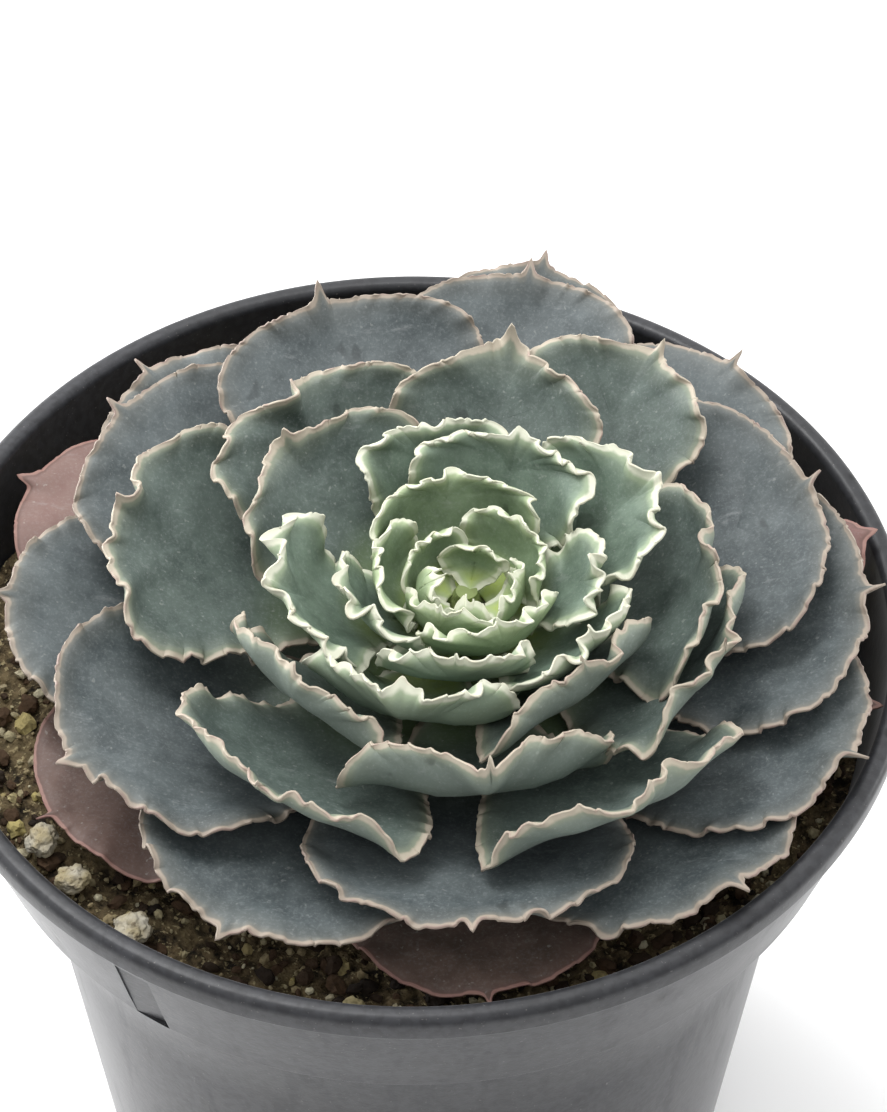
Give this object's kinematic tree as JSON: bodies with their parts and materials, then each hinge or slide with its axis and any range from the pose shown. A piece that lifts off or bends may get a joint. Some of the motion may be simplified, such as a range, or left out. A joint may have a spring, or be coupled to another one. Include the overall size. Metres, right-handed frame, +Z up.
{
  "type": "potted succulent",
  "caption": "Frilly-leaved succulent rosette with spine-tipped, wavy, cream-edged leaves, growing on a short stem in gritty potting mix in a round plastic nursery pot with a stepped collar.",
  "frame": {"origin": "centre of the pot's base, on the surface that it stands on", "axes": "+Z up along the pot's axis, -Y towards the front, where the rosette leans and old leaves and bare potting mix show"},
  "size_m": [0.12, 0.12, 0.118],
  "materials": {
    "charcoal_plastic": "satin",
    "potting_mix": "matte",
    "pumice": "matte",
    "stem": "matte",
    "old_leaf": "matte",
    "outer_leaf": "matte",
    "middle_leaf": "matte",
    "inner_leaf": "matte",
    "heart_leaf": "matte"
  },
  "bodies": {
    "root": {"nursery_pot": "charcoal_plastic", "potting_mix": "potting_mix", "pumice_stone_1": "pumice", "pumice_stone_2": "pumice", "pumice_stone_3": "pumice", "stem": "stem", "old_leaf_1": "old_leaf", "old_leaf_2": "old_leaf", "old_leaf_3": "old_leaf", "old_leaf_4": "old_leaf", "old_leaf_5": "old_leaf", "outer_leaf_01": "outer_leaf", "outer_leaf_02": "outer_leaf", "outer_leaf_03": "outer_leaf", "outer_leaf_04": "outer_leaf", "outer_leaf_05": "outer_leaf", "outer_leaf_06": "outer_leaf", "outer_leaf_07": "outer_leaf", "outer_leaf_08": "outer_leaf", "outer_leaf_09": "outer_leaf", "outer_leaf_10": "outer_leaf", "outer_leaf_11": "outer_leaf", "outer_leaf_12": "outer_leaf", "outer_leaf_13": "outer_leaf", "outer_leaf_14": "outer_leaf", "outer_leaf_15": "outer_leaf", "middle_leaf_01": "middle_leaf", "middle_leaf_02": "middle_leaf", "middle_leaf_03": "middle_leaf", "middle_leaf_04": "middle_leaf", "middle_leaf_05": "middle_leaf", "middle_leaf_06": "middle_leaf", "middle_leaf_07": "middle_leaf", "middle_leaf_08": "middle_leaf", "middle_leaf_09": "middle_leaf", "middle_leaf_10": "middle_leaf", "middle_leaf_11": "middle_leaf", "middle_leaf_12": "middle_leaf", "inner_leaf_1": "inner_leaf", "inner_leaf_2": "inner_leaf", "inner_leaf_3": "inner_leaf", "inner_leaf_4": "inner_leaf", "inner_leaf_5": "inner_leaf", "inner_leaf_6": "inner_leaf", "inner_leaf_7": "inner_leaf", "inner_leaf_8": "inner_leaf", "inner_leaf_9": "inner_leaf", "heart_leaf_1": "heart_leaf", "heart_leaf_2": "heart_leaf", "heart_leaf_3": "heart_leaf", "heart_leaf_4": "heart_leaf", "heart_leaf_5": "heart_leaf", "heart_leaf_6": "heart_leaf", "heart_leaf_7": "heart_leaf"}
  },
  "joints": []
}
